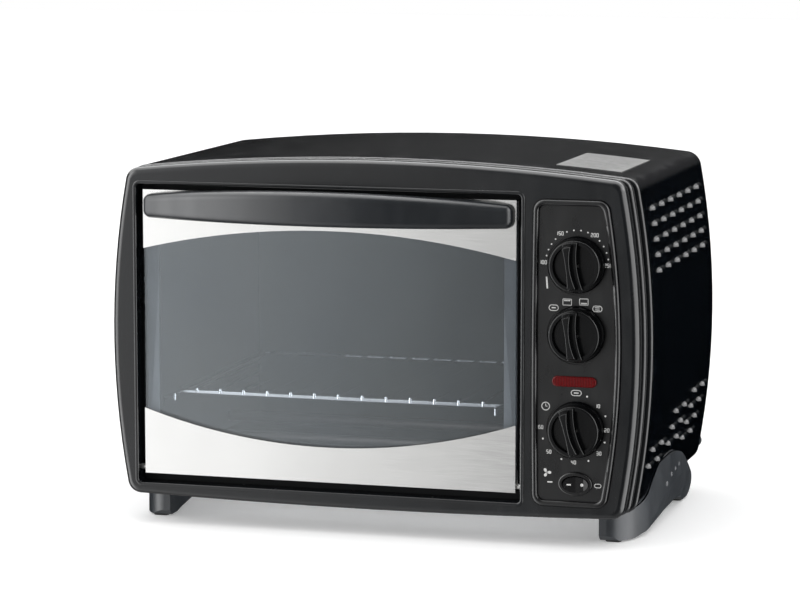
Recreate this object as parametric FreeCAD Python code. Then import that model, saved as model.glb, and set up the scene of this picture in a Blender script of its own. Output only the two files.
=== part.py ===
import FreeCAD, Part
import math
import os

# Countertop toaster oven: black wrapped body, glass door hinged at the bottom,
# control column on the right, louvred sides and two side rails as feet.
# Millimetres. X right, Y back, Z up. Origin: centre of the footprint, on the ground.

V = FreeCAD.Vector
os.makedirs("parts", exist_ok=True)

# ---------------------------------------------------------------- dimensions
FACE = -124.5              # y of the door's front plane
HALF = 215.0               # body half width at the waist
WAIST_Z = 150.0            # height where the body is widest
SIDE_BOW = 1300.0          # the sides curve in by (z - waist)^2 / bow
BODY_TOP, TOP_BOW = 291.0, 3600.0
BODY_BOTTOM, BOTTOM_BOW = 20.4, 11800.0
SOLE = 1.2                 # the pads' height under the side rails
CORNER = 13.0              # corner radius of the body outline
SHEET = 0.8                # sheet steel thickness
WRAP_Y0, WRAP_Y1 = FACE + 31.0, FACE + 264.5
BACK_Y = FACE + 262.0      # front face of the rear panel

DOOR_X0, DOOR_X1 = -185.0, 115.0
DOOR_Z0, DOOR_Z1 = 40.0, 264.0
DOOR_GAP = 4.5
DOOR_CX = (DOOR_X0 + DOOR_X1) / 2
PIN_Y, PIN_Z, PIN_R = FACE + 5.0, 44.0, 2.5

CAV_X0, CAV_X1 = -175.0, 105.0
CAV_Y0, CAV_Y1 = FACE + 12.3, FACE + 250.0
CAV_Z0, CAV_Z1 = 48.0, 256.0
LINER = 0.7

RACK_Z, RACK_R, WIRE_R = 101.0, 2.2, 1.3
RACK_Y0, RACK_Y1 = FACE + 30.0, FACE + 244.0
RACK_X0, RACK_X1 = -170.5, 100.5

HEATER_Y = (FACE + 85.0, FACE + 172.0)
HEATER_Z = (58.0, 240.0)
HEATER_R = 4.0

PANEL_X = 163.0            # centre line of the knobs
PANEL_FACE = FACE - 3.4    # face of the control panel
KNOBS = {"temperature": (217.0, 0.0), "function": (164.3, 0.0), "timer": (91.7, -7.0)}
LAMP_X, LAMP_Z = 161.5, 128.5
ROCKER_X, ROCKER_Z = 162.8, 50.3

LOUVRE_R, LOUVRE_L = 3.6, 13.0
UPPER_LOUVRES = [(67.0 + 34.0 * i, 206.4 + 11.9 * j) for i in range(6) for j in range(5)]
LOWER_LOUVRES = (
    [(y + 33.0 * i, z) for i in range(2) for y, z in ((210.6, 91.3), (202.3, 79.8), (191.8, 68.0), (182.0, 57.0))]
    + [(y + 33.0 * i, z) for i in range(2) for y, z in ((140.4, 85.5), (131.9, 73.9), (122.9, 62.4))]
    + [(y + 33.0 * i, z) for i in range(2) for y, z in ((61.8, 68.0), (53.6, 56.4))]
)
FAN_Y, FAN_Z, FAN_R = FACE + 130.0, 152.0, 44.0
SHIELD_X = 134.0


# ------------------------------------------------------------------- helpers
def half_width(z):
    return HALF - (z - WAIST_Z) ** 2 / SIDE_BOW


def top_z(x):
    return BODY_TOP - x * x / TOP_BOW


def box(x0, x1, y0, y1, z0, z1):
    return Part.makeBox(x1 - x0, y1 - y0, z1 - z0, V(x0, y0, z0))


def rod(p, q, r):
    """Round bar from point p to point q."""
    d = V(*q) - V(*p)
    return Part.makeCylinder(r, d.Length, V(*p), d)


def ball(p, r):
    return Part.makeSphere(r, V(*p))


def arc(a, m, b):
    return Part.Arc(V(*a), V(*m), V(*b)).toShape()


def line(a, b):
    return Part.makeLine(V(*a), V(*b))


def extrude(edges, vector):
    return Part.Face(Part.Wire(edges)).extrude(V(*vector))


def polygon(points, vector):
    pts = [V(*p) for p in points]
    return Part.Face(Part.makePolygon(pts + pts[:1])).extrude(V(*vector))


def smooth(points):
    """One smooth curve through the points."""
    curve = Part.BSplineCurve()
    curve.interpolate([V(*p) for p in points])
    return curve.toShape()


def fuse(*shapes):
    shapes = list(shapes)
    return shapes[0].fuse(shapes[1:]).removeSplitter() if len(shapes) > 1 else shapes[0]


def along_y(edge):
    d = edge.Vertexes[0].Point - edge.Vertexes[-1].Point
    return d.Length > 0.1 and abs(abs(d.y) - d.Length) < 1e-4


def round_corners(shape, radius):
    """Rounds the edges that run front to back."""
    return shape.makeFillet(radius, [e for e in shape.Edges if along_y(e)])


def round_rim(shape, y, radius):
    """Rounds every edge that lies in the plane y."""
    rim = [e for e in shape.Edges if all(abs(v.Point.y - y) < 1e-3 for v in e.Vertexes)
           and abs(e.BoundBox.YMax - e.BoundBox.YMin) < 0.01]
    return shape.makeFillet(radius, rim)


def body_slab(side, top, bottom, y0, y1, radius=CORNER):
    """Slice of the body's bowed outline, set in by the given amounts."""
    zt, zb = 280.0, 25.0
    for _ in range(8):
        xt, xb = half_width(zt) - side, half_width(zb) - side
        zt = top_z(xt) - top
        zb = BODY_BOTTOM + xb * xb / BOTTOM_BOW + bottom
    w = HALF - side
    edges = [arc((-xt, y0, zt), (0, y0, BODY_TOP - top), (xt, y0, zt)),
             arc((xt, y0, zt), (w, y0, WAIST_Z), (xb, y0, zb)),
             arc((xb, y0, zb), (0, y0, BODY_BOTTOM + bottom), (-xb, y0, zb)),
             arc((-xb, y0, zb), (-w, y0, WAIST_Z), (-xt, y0, zt))]
    return round_corners(extrude(edges, (0, y1 - y0, 0)), radius)


def frame_box(x0, x1, y0, y1, z0, z1, wall, radius=0.0):
    """Rectangular frame round the opening x0..x1, z0..z1."""
    outer = box(x0 - wall, x1 + wall, y0, y1, z0 - wall, z1 + wall)
    inner = box(x0, x1, y0 - 1, y1 + 1, z0, z1)
    if radius:
        outer, inner = round_corners(outer, radius + wall), round_corners(inner, radius)
    return outer.cut(inner)


def stadium(cx, cz, width, height, y0, y1):
    r = height / 2
    h = width / 2 - r
    return fuse(box(cx - h, cx + h, y0, y1, cz - r, cz + r),
                rod((cx - h, y0, cz), (cx - h, y1, cz), r), rod((cx + h, y0, cz), (cx + h, y1, cz), r))


def oval(cx, cz, a, b, y0, y1):
    e = Part.Ellipse(V(cx + a, y0, cz), V(cx, y0, cz + b), V(cx, y0, cz)).toShape()
    return Part.Face(Part.Wire([e])).extrude(V(0, y1 - y0, 0))


def panel_slab(inset, y0, y1, radius):
    """Slice of the control panel outline: straight left edge, bowed right edge."""
    z0, z1 = 32.5 + inset, 266.0 - inset
    xr = 197.0 - inset
    edges = [arc((129.2 + inset, y0, z0), (128.2 + inset, y0, 150), (129.2 + inset, y0, z1)),
             line((129.2 + inset, y0, z1), (xr - 10.3, y0, z1)),
             arc((xr - 10.3, y0, z1), (xr, y0, 150), (xr - 10.6, y0, z0)),
             line((xr - 10.6, y0, z0), (129.2 + inset, y0, z0))]
    return round_corners(extrude(edges, (0, y1 - y0, 0)), radius)


def pan_screw(p, direction, r=1.5, length=4.0):
    """Pan head cross screw: p is under the head, direction points into the work."""
    d = V(*direction)
    p = V(*p)
    head = Part.makeCylinder(2 * r, 1.0 * r, p - d * (1.0 * r), d)
    rim = [e for e in head.Edges if isinstance(e.Curve, Part.Circle)
           and abs((e.Curve.Center - (p - d * (1.0 * r))).Length) < 1e-6]
    head = head.makeFillet(0.5 * r, rim)
    across = V(1, 0, 0) if abs(d.x) < 0.5 else V(0, 1, 0)
    up = d.cross(across)
    slot = []
    for a, b in ((across, up), (up, across)):
        c = p - d * (1.0 * r)
        pts = [c + a * 1.0 * r + b * 0.2 * r, c - a * 1.0 * r + b * 0.2 * r,
               c - a * 1.0 * r - b * 0.2 * r, c + a * 1.0 * r - b * 0.2 * r]
        slot.append(Part.Face(Part.makePolygon(pts + pts[:1])).extrude(d * (0.5 * r)))
    head = head.cut(slot[0].fuse(slot[1]))
    return head.fuse(Part.makeCylinder(r, length, p, d)).removeSplitter()


def drilled(shape, points, direction, r=1.55, depth=12.0):
    """Cuts a clearance hole through the work at each screw."""
    d = V(*direction)
    return shape.cut([Part.makeCylinder(r, depth, V(*p) - d * 2, d) for p in points])


def save(name, shape):
    if isinstance(shape, (list, tuple)):
        shape = Part.makeCompound([s for item in shape for s in item.Solids])
    shape.exportStep("parts/%s.step" % name)


# ---------------------------------------------------------------- outer shell
def louvre(side, y, z):
    """Pressed louvre: a hood with tapered ends that stands off the sheet and opens downward."""
    x = side * (half_width(z) - 1.4)
    y0, y1 = FACE + y - LOUVRE_L / 2, FACE + y + LOUVRE_L / 2
    upper = box(x - 9, x + 9, y0 - 9, y1 + 9, z - 0.6, z + 9)
    bodies = []
    for r in (LOUVRE_R, LOUVRE_R - SHEET):
        tip = 0.4 * r
        hood = fuse(rod((x, y0, z), (x, y1, z), r), Part.makeCone(r, tip, 2.6, V(x, y1, z), V(0, 1, 0)),
                    Part.makeCone(r, tip, 2.6, V(x, y0, z), V(0, -1, 0)))
        bodies.append(hood.common(upper))
    return bodies


def cabinet_wrap():
    inner = body_slab(SHEET, SHEET, SHEET, WRAP_Y0 - 1, WRAP_Y1 + 1, CORNER - SHEET)
    shell = body_slab(0, 0, 0, WRAP_Y0, WRAP_Y1).cut(inner)
    shell = shell.cut([box(-172, 172, WRAP_Y0 - 1, WRAP_Y1 + 1, 15, 40),
                       box(0, 230, WRAP_Y0 - 1, WRAP_Y1 + 1, 0, 300)])
    hoods, hollows = [], []
    for y, z in UPPER_LOUVRES + LOWER_LOUVRES:
        outer, hollow = louvre(-1, y, z)
        hoods.append(outer.cut([inner, hollow]))
        hollows.append(hollow)
    left = shell.cut(hollows).fuse(hoods)
    return left.fuse(left.mirror(V(0, 0, 0), V(1, 0, 0))).removeSplitter()


def front_bezel():
    core = body_slab(7.0, 0.35, 0.35, FACE + 4, FACE + 30.8, 11)
    first = body_slab(4.3, 0, 0, FACE - 3, FACE + 9.5, 11)
    first = round_rim(round_rim(first, FACE - 3, 5.2), FACE + 9.5, 1.6)
    second = body_slab(2.4, 0.12, 0.12, FACE + 13, FACE + 21, 11)
    second = round_rim(round_rim(second, FACE + 13, 2.4), FACE + 21, 1.8)
    third = round_rim(body_slab(-0.3, -0.05, -0.05, FACE + 25, FACE + 31, 12), FACE + 25, 2.2)
    bezel = core.fuse([first, second, third])
    bezel = bezel.cut(body_slab(9.4, 3, 3, FACE, FACE + 40, 9))
    x0, x1 = DOOR_X0 - DOOR_GAP, DOOR_X1 + DOOR_GAP
    z0, z1 = DOOR_Z0 - 7.0, DOOR_Z1 + DOOR_GAP
    lip = frame_box(x0, x1, FACE - 0.5, FACE + 11.0, z0, z1, 2.2, 3.0)
    bead = round_rim(frame_box(x0, x1, FACE - 4.2, FACE - 2.5, z0, z1, 3.0, 3.0), FACE - 4.2, 1.1)
    bezel = bezel.fuse([lip, bead])
    bezel = bezel.cut(round_corners(box(x0, x1, FACE - 10, FACE + 20, z0, z1), 3.0))
    bezel = bezel.cut(panel_slab(2.2, FACE - 10, FACE + 2, 7.0))
    seam = panel_slab(-0.7, FACE - 4, FACE - 2.2, 9.7).cut(panel_slab(0.4, FACE - 5, FACE, 8.6))
    bezel = bezel.cut(seam)
    return bezel.cut([rod((x0 - 4, PIN_Y, PIN_Z), (x0 + 2, PIN_Y, PIN_Z), PIN_R + 0.4),
                      rod((x1 - 2, PIN_Y, PIN_Z), (x1 + 4, PIN_Y, PIN_Z), PIN_R + 0.4)]).removeSplitter()


def control_panel():
    rim = panel_slab(0, FACE - 6.2, FACE - 3.0, 9.0).cut(panel_slab(4.4, FACE - 8, FACE, 5.0))
    rim = round_rim(rim, FACE - 6.2, 2.0)
    plate = panel_slab(2.5, PANEL_FACE, FACE - 0.6, 6.7)
    panel = fuse(rim, plate)
    holes = [rod((PANEL_X, FACE - 9, z), (PANEL_X, FACE + 3, z), 4.2) for z, _ in KNOBS.values()]
    holes.append(stadium(LAMP_X, LAMP_Z, 31.6, 5.4, FACE - 9, FACE + 3))
    holes.append(oval(ROCKER_X, ROCKER_Z, 11.6, 7.8, FACE - 9, FACE + 3))
    rings = []
    for z, _ in KNOBS.values():
        well = rod((PANEL_X, PANEL_FACE - 1, z), (PANEL_X, PANEL_FACE + 0.9, z), 23.0)
        rings.append(well)
    return panel.cut(holes + rings)


REAR_SCREWS = [(x, BACK_Y + SHEET, z) for x in (-150, 0, 150) for z in (40, 268)] + [
    (x, BACK_Y + SHEET, z) for x in (-203, 203) for z in (110, 200)]
BASE_SCREWS = [(x, y, 23.4) for x in (-150, 150) for y in (-60, 15, 85)]
SPACERS = [(-197.5, 36.5), (197.5, 36.5)]
CORD_X, CORD_Z = 150.0, 62.0


def rear_panel():
    plate = body_slab(1.1, 1.1, 6.3, BACK_Y, BACK_Y + SHEET, CORNER - 1.1)
    flange = body_slab(1.1, 1.1, 6.3, BACK_Y - 9, BACK_Y, CORNER - 1.1).cut(
        body_slab(1.9, 1.9, 7.1, BACK_Y - 10, BACK_Y + 1, CORNER - 1.9))
    slots = [box(x, x + 26, BACK_Y - 2, BACK_Y + 3, z, z + 4) for x in (-140, -104, -68, 42, 78, 114)
             for z in (120, 134, 148, 162, 176, 190, 204, 218)]
    slots.append(rod((CORD_X, BACK_Y - 2, CORD_Z), (CORD_X, BACK_Y + 3, CORD_Z), 7.2))
    slots += [rod((x, BACK_Y - 2, z), (x, BACK_Y + 3, z), 3.6) for x, z in SPACERS]
    return drilled(fuse(plate, flange).cut(slots), REAR_SCREWS, (0, -1, 0))


def base_plate():
    plate = fuse(box(-186, 186, FACE + 32, FACE + 261, 25.6, 26.4),
                 box(-186, 186, FACE + 32, FACE + 32.8, 25.6, 34))
    slots = [box(x, x + 30, y, y + 4, 20, 30) for x in (-120, -80, -40, 0, 40, 80) for y in (-40, -24, -8, 60, 76)]
    return drilled(plate.cut(slots), [(x, y, 25) for x, y, _ in BASE_SCREWS], (0, 0, 1), 1.55, 4)


def foot_rail(side):
    """Side rail foot: curved skirt over the panel's lower edge, pads at both ends."""
    pts = [(26, 5), (26, 20), (36, 25.5), (46, 31), (55, 40), (64, 47), (78, 50.8), (100, 52.5), (128, 53), (152, 51),
           (172, 46), (189, 37.5), (205, 27.5), (217, 18), (223, 9), (224.5, 5)]
    up = smooth([(0, FACE + y, z) for y, z in pts[1:-1]])
    a, b = pts[0], pts[-1]
    bottom = [(222, SOLE), (204, SOLE), (190, 6.5), (158, 11.5), (116, 9.5), (74, 5.0), (54, 3.0), (44, SOLE)]
    chain = [(b[0], b[1])] + bottom + [(30, SOLE), a]
    edges = [line((0, FACE + a[0], a[1]), (0, FACE + pts[1][0], pts[1][1])), up,
             line((0, FACE + pts[-2][0], pts[-2][1]), (0, FACE + b[0], b[1]))]
    edges += [line((0, FACE + p[0], p[1]), (0, FACE + q[0], q[1])) for p, q in zip(chain[:-1], chain[1:])]
    skirt = extrude(edges, (240, 0, 0))
    outer = smooth([(180, FACE + 26, 0), (188.5, FACE + 28.8, 0), (194.5, FACE + 35, 0), (199.8, FACE + 46, 0),
                    (204.6, FACE + 62, 0), (208, FACE + 86, 0), (209.5, FACE + 122, 0), (209.7, FACE + 190, 0),
                    (208.6, FACE + 236, 0)])
    plan = extrude([outer, line((208.6, FACE + 236, 0), (188, FACE + 236, 0)),
                    line((188, FACE + 236, 0), (186, FACE + 112, 0)),
                    line((186, FACE + 112, 0), (176, FACE + 84, 0)),
                    line((176, FACE + 84, 0), (174.5, FACE + 26, 0)),
                    line((174.5, FACE + 26, 0), (180, FACE + 26, 0))],
                   (0, 0, 80))
    lean = extrude([arc((203.2, FACE, 0), (207.6, FACE, 14), (209.9, FACE, 40)),
                    line((209.9, FACE, 40), (209.9, FACE, 70)), line((209.9, FACE, 70), (150, FACE, 70)),
                    line((150, FACE, 70), (150, FACE, 0)), line((150, FACE, 0), (203.2, FACE, 0))], (0, 260, 0))
    rail = skirt.common(plan).common(lean)
    rail = rail.cut(box(188, 201, FACE + 56, FACE + 184, 0, 18))
    dimples = [(158, 39.5), (145, 38), (130, 36), (114, 31)]
    rail = rail.fuse([ball((207.4, FACE + y, z), 3.2) for y, z in dimples])
    rail = rail.cut(body_slab(-0.6, 0, -0.5, FACE - 3.5, FACE + 270, CORNER))
    rail = max(rail.Solids, key=lambda s: s.Volume)
    rail = drilled(rail, [(190, y, 3) for y in FOOT_SCREW_Y], (0, 0, 1), 1.8, 40)
    return rail if side > 0 else rail.mirror(V(0, 0, 0), V(1, 0, 0))


FOOT_SCREW_Y = (FACE + 45, FACE + 194)


def foot_pads():
    pads = []
    for side in (-1, 1):
        for x, y0, y1 in ((184.5, 30, 44), (196.0, 204, 222)):
            pad = box(side * x - 6, side * x + 6, FACE + y0, FACE + y1, 0, SOLE)
            edges = [e for e in pad.Edges if abs(e.Vertexes[0].Point.z - e.Vertexes[-1].Point.z) > 1]
            pads.append(pad.makeFillet(3.0, edges))
    return pads


def rear_spacers():
    pegs = []
    for x, z in SPACERS:
        peg = fuse(rod((x, BACK_Y - 3, z), (x, BACK_Y + 1, z), 3.5),
                   rod((x, BACK_Y + SHEET, z), (x, FACE + 285, z), 5.8))
        peg = peg.cut(rod((x, FACE + 280, z), (x, FACE + 290, z), 3.0))
        pegs.append(peg)
    return pegs


def label_plate():
    patch = polygon([(132, FACE + 56, 270), (183, FACE + 56, 270), (183, FACE + 160, 270), (132, FACE + 160, 270)],
                    (0, 0, 40))
    skin = body_slab(-0.4, -0.4, 0, WRAP_Y0, WRAP_Y1).cut(body_slab(0, 0, 0, WRAP_Y0 - 1, WRAP_Y1 + 1))
    return skin.common(patch)


# -------------------------------------------------------------- oven cavity
def front_frame():
    frame = frame_box(CAV_X0, CAV_X1, FACE + 11.5, CAV_Y0, CAV_Z0, CAV_Z1, 16.0)
    return frame


def cavity_side(x0, x1, holes):
    wall = box(x0, x1, CAV_Y0, CAV_Y1 + LINER, CAV_Z0 - LINER, CAV_Z1 + LINER)
    cuts = [rod((x0 - 2, y, z), (x1 + 2, y, z), HEATER_R + 0.6) for y in HEATER_Y for z in HEATER_Z]
    for ring, count in ((0.0, 1), (11.0, 6), (22.0, 12), (33.0, 18)):
        for i in range(count if holes else 0):
            t = 2 * math.pi * i / count
            y, z = FAN_Y + ring * math.cos(t), FAN_Z + ring * math.sin(t)
            cuts.append(rod((x0 - 2, y, z), (x1 + 2, y, z), 3.0))
    return wall.cut(cuts)


def rack_rails():
    """Shelf angle on each cavity wall that carries the rack's side rods."""
    top = RACK_Z - RACK_R - 0.3
    left = fuse(box(CAV_X0, CAV_X0 + 8, CAV_Y0 + 4, CAV_Y1 - 2, top - LINER, top),
                box(CAV_X0, CAV_X0 + LINER, CAV_Y0 + 4, CAV_Y1 - 2, top - 8, top - LINER))
    right = fuse(box(CAV_X1 - 8, CAV_X1, CAV_Y0 + 4, CAV_Y1 - 2, top - LINER, top),
                 box(CAV_X1 - LINER, CAV_X1, CAV_Y0 + 4, CAV_Y1 - 2, top - 8, top - LINER))
    return [left, right]


def wire_rack():
    """Chromed wire rack: a rounded loop, cross wires and two pull hooks."""
    r, c = RACK_R, 8.0
    x0, x1, y0, y1, z = RACK_X0, RACK_X1, RACK_Y0, RACK_Y1, RACK_Z
    k = c * (1 - math.sqrt(0.5))
    loop = Part.Wire([line((x0 + c, y0, z), (x1 - c, y0, z)), arc((x1 - c, y0, z), (x1 - k, y0 + k, z), (x1, y0 + c, z)),
                      line((x1, y0 + c, z), (x1, y1 - c, z)), arc((x1, y1 - c, z), (x1 - k, y1 - k, z), (x1 - c, y1, z)),
                      line((x1 - c, y1, z), (x0 + c, y1, z)), arc((x0 + c, y1, z), (x0 + k, y1 - k, z), (x0, y1 - c, z)),
                      line((x0, y1 - c, z), (x0, y0 + c, z)), arc((x0, y0 + c, z), (x0 + k, y0 + k, z), (x0 + c, y0, z))])
    section = Part.Wire([Part.makeCircle(r, V(x0 + c, y0, z), V(1, 0, 0))])
    rack = loop.makePipeShell([section], True, False)
    zt = z + r + WIRE_R - 0.7
    wires = []
    for i in range(13):
        x = DOOR_CX + (i - 6) * 19.5
        front, back = (x, y0 - 1.2, zt), (x, y1 + 1.2, zt)
        wires.append(fuse(rod(front, back, WIRE_R), ball(front, WIRE_R),
                          rod(front, (x, y0 - 1.2, z - 0.6), WIRE_R)))
    hooks = []
    for x in (x0 + 5, x1 - 5):
        a, b, d = (x, y0, z), (x, FACE + 15, z), (x, FACE + 15, z - 4.5)
        hooks.append(fuse(rod(a, b, 1.1), ball(b, 1.1), rod(b, d, 1.1)))
    return rack.fuse(wires + hooks)


def heater_rods(z):
    rods = []
    for y in HEATER_Y:
        tube = rod((CAV_X0 - 15, y, z), (CAV_X1 + 15, y, z), HEATER_R)
        rods.append(fuse(tube, rod((CAV_X0 - 23, y, z), (CAV_X1 + 23, y, z), 1.4)))
    return rods


def heater_insulators():
    rings = []
    for y in HEATER_Y:
        for z in HEATER_Z:
            for x0, x1 in ((CAV_X0 - LINER - 9, CAV_X0 - LINER), (CAV_X1 + LINER, CAV_X1 + LINER + 9)):
                bush = rod((x0, y, z), (x1, y, z), 8.0).cut(rod((x0 - 1, y, z), (x1 + 1, y, z), HEATER_R + 0.05))
                rings.append(bush)
    return rings


# --------------------------------------------------------------------- door
def door_plan(z0, z1, y0, y1):
    return box(DOOR_X0, DOOR_X1, y0, y1, z0, z1)


def door_top_trim():
    """Steel trim that folds over the glass; its lower edge arches upward."""
    z_end, z_mid = DOOR_Z0 + 178.0, DOOR_Z0 + 196.0
    lens = extrude([arc((DOOR_X0, FACE, z_end), (DOOR_CX, FACE, z_mid), (DOOR_X1, FACE, z_end)),
                    line((DOOR_X1, FACE, z_end), (DOOR_X1, FACE, DOOR_Z1)), line((DOOR_X1, FACE, DOOR_Z1), (DOOR_X0, FACE, DOOR_Z1)),
                    line((DOOR_X0, FACE, DOOR_Z1), (DOOR_X0, FACE, z_end))], (0, 1.0, 0))
    top = door_plan(DOOR_Z1 - 0.9, DOOR_Z1, FACE, FACE + 9)
    back = door_plan(DOOR_Z1 - 16, DOOR_Z1, FACE + 8.1, FACE + 9)
    trim = fuse(lens, top, back)
    return drilled(trim, [(x, FACE - 1, HANDLE_SCREW_Z) for x in HANDLE_SCREW_X], (0, 1, 0), 2.0, 20)


def door_bottom_trim():
    z_end, z_mid = DOOR_Z0 + 52.0, DOOR_Z0 + 27.4
    lens = extrude([arc((DOOR_X0, FACE, z_end), (DOOR_CX, FACE, z_mid), (DOOR_X1, FACE, z_end)),
                    line((DOOR_X1, FACE, z_end), (DOOR_X1, FACE, DOOR_Z0)), line((DOOR_X1, FACE, DOOR_Z0), (DOOR_X0, FACE, DOOR_Z0)),
                    line((DOOR_X0, FACE, DOOR_Z0), (DOOR_X0, FACE, z_end))], (0, 1.0, 0))
    bottom = door_plan(DOOR_Z0, DOOR_Z0 + 0.9, FACE, FACE + 9)
    back = door_plan(DOOR_Z0, DOOR_Z0 + 16, FACE + 8.1, FACE + 9)
    return fuse(lens, bottom, back)


HANDLE_SCREW_X = (DOOR_CX - 136, DOOR_CX + 136)
HANDLE_SCREW_Z = DOOR_Z0 + 211.0


def door_glass():
    glass = box(DOOR_X0 + 0.5, DOOR_X1 - 0.5, FACE + 1.0, FACE + 5.0, DOOR_Z0 + 9.0, DOOR_Z1 - 1.2)
    return drilled(glass, [(x, FACE - 1, HANDLE_SCREW_Z) for x in HANDLE_SCREW_X], (0, 1, 0), 2.4, 20)


def door_side_channels():
    """Steel strip behind each end of the glass, with a folded edge."""
    strips = []
    for edge, inward in ((DOOR_X0 + 0.5, 1), (DOOR_X1 - 0.5, -1)):
        a, b = sorted((edge, edge + inward * 10.0))
        c, d = sorted((edge, edge + inward * 1.0))
        strip = fuse(box(a, b, FACE + 5.0, FACE + 5.9, DOOR_Z0 + 9.0, DOOR_Z1 - 1.2),
                     box(c, d, FACE + 5.9, FACE + 8.0, DOOR_Z0 + 9.0, DOOR_Z1 - 1.2))
        strips.append(strip)
    strips = Part.makeCompound(strips)
    cut = drilled(strips, [(x, FACE - 1, HANDLE_SCREW_Z) for x in HANDLE_SCREW_X], (0, 1, 0), 2.4, 20)
    return cut


def door_hinge_pins():
    """Steel hinge block inside each lower corner with the pin that sticks out."""
    pins = []
    for edge, out in ((DOOR_X0, -1), (DOOR_X1, 1)):
        a, b = sorted((edge - out * 24, edge - out * 0.4))
        block = box(a, b, FACE + 1.1, FACE + 8.0, DOOR_Z0 + 1.0, DOOR_Z0 + 8.6)
        p, q = sorted((edge - out * 12, edge + out * 11.4))
        pins.append(fuse(block, rod((p, PIN_Y, PIN_Z), (q, PIN_Y, PIN_Z), PIN_R)))
    return pins


def door_handle():
    """Bowed bar: both ends meet the door, the middle stands clear of it."""
    z0, half = DOOR_Z0 + 202.5, 148.0
    cx = DOOR_CX
    plan = extrude([line((cx - half, FACE, z0), (cx - half, FACE - 7, z0)),
                    arc((cx - half, FACE - 7, z0), (cx, FACE - 36, z0), (cx + half, FACE - 7, z0)),
                    line((cx + half, FACE - 7, z0), (cx + half, FACE, z0)), line((cx + half, FACE, z0), (cx + 124, FACE, z0)),
                    arc((cx + 124, FACE, z0), (cx, FACE - 23, z0), (cx - 124, FACE, z0)),
                    line((cx - 124, FACE, z0), (cx - half, FACE, z0))], (0, 0, 40))
    z1, z2 = DOOR_Z0 + 220.5, DOOR_Z0 + 228.5
    front = extrude([line((cx - half, FACE - 50, z0), (cx + half, FACE - 50, z0)),
                     line((cx + half, FACE - 50, z0), (cx + half, FACE - 50, z1)),
                     arc((cx + half, FACE - 50, z1), (cx, FACE - 50, z2), (cx - half, FACE - 50, z1)),
                     line((cx - half, FACE - 50, z1), (cx - half, FACE - 50, z0))], (0, 60, 0))
    front = round_corners(front, 6.0)
    bar = plan.common(front)
    keep = [e for e in bar.Edges if min(v.Point.y for v in e.Vertexes) < FACE - 6.9
            and e.BoundBox.YMin < FACE - 22.5 and e.BoundBox.ZMax - e.BoundBox.ZMin < 10]
    outer = [e for e in keep if e.BoundBox.YMin < FACE - 35]
    inner = [e for e in keep if e.BoundBox.YMin >= FACE - 35]
    for edges, radius in ((outer, 5.5), (inner, 3.0)):
        try:
            points = [e.CenterOfMass for e in edges]
            now = [e for e in bar.Edges if any((e.CenterOfMass - p).Length < 0.5 for p in points)]
            bar = bar.makeFillet(radius, now)
        except Exception:
            print("handle edge left sharp", radius)
    return drilled(bar, [(x, FACE, HANDLE_SCREW_Z) for x in HANDLE_SCREW_X], (0, -1, 0), 1.55, 7)


# ----------------------------------------------------------------- controls
def knob(z, turn):
    """Round knob with a skirt, a raised ring and a curved finger bar."""
    p = PANEL_FACE
    skirt = Part.makeCone(20.6, 21.6, 3.6, V(PANEL_X, p - 3.9, z), V(0, 1, 0))
    drum = round_rim(rod((PANEL_X, p - 11.5, z), (PANEL_X, p - 3.9, z), 19.6), p - 11.5, 1.3)
    well = Part.makeCone(16.4, 15.6, 3.6, V(PANEL_X, p - 11.6, z), V(0, 1, 0))
    body = fuse(skirt, drum).cut(well)

    def fin(left, right, y0, y1):
        pts_l = [(PANEL_X + x, y0, z + h) for x, h in left]
        pts_r = [(PANEL_X + x, y0, z + h) for x, h in right]
        edges = [arc(*pts_l), line(pts_l[2], pts_r[2]), arc(*reversed(pts_r)), line(pts_r[0], pts_l[0])]
        return extrude(edges, (0, y1 - y0, 0))

    low = fin([(-9.6, 20), (-5.4, 0), (-3.9, -20)], [(3.4, 20), (2.9, 0), (8.8, -20)], p - 14.5, p - 6)
    high = fin([(-8.6, 20), (-4.6, 0), (-3.0, -20)], [(0.2, 20), (-1.3, 0), (5.6, -20)], p - 20.5, p - 6)
    rim = rod((PANEL_X, p - 30, z), (PANEL_X, p, z), 18.6)
    crest = high.common(Part.makeCone(15.6, 19.4, 15.0, V(PANEL_X, p - 21, z), V(0, 1, 0)))
    try:
        crest = round_rim(crest, p - 20.5, 0.9)
        low = round_rim(low.common(rim), p - 14.5, 0.9)
    except Exception:
        low = low.common(rim)
        print("knob bar left sharp")
    body = body.fuse([low, crest])
    bore = rod((PANEL_X, p - 12, z), (PANEL_X, p + 2, z), 3.05)
    body = body.cut(bore)
    body.rotate(V(PANEL_X, 0, z), V(0, 1, 0), turn)
    return max(body.Solids, key=lambda s: s.Volume)


def knob_shaft(z):
    return rod((PANEL_X, PANEL_FACE - 11.5, z), (PANEL_X, FACE + 30, z), 3.0)


def mechanism(z, width, height, depth, parts):
    """Rotary control: box, threaded neck and a bore for its shaft."""
    y0 = FACE + 17.0
    case = box(PANEL_X - width / 2, PANEL_X + width / 2, y0, y0 + depth, z - height / 2, z + height / 2)
    case = round_corners(case, 3.0)
    neck = rod((PANEL_X, FACE + 8, z), (PANEL_X, y0 + 2, z), 5.0)
    shape = fuse(case, neck, *parts)
    return shape.cut(rod((PANEL_X, FACE + 5, z), (PANEL_X, FACE + 31, z), 3.06))


def thermostat():
    z = KNOBS["temperature"][0]
    tabs = [box(PANEL_X + x, PANEL_X + x + 6, FACE + 42, FACE + 50, z - 0.4, z + 0.4) for x in (-12, 6)]
    stem = rod((PANEL_X, FACE + 40, z + 9), (PANEL_X, FACE + 47, z + 9), 6.0)
    return mechanism(z, 34, 34, 25, tabs + [stem])


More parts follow.
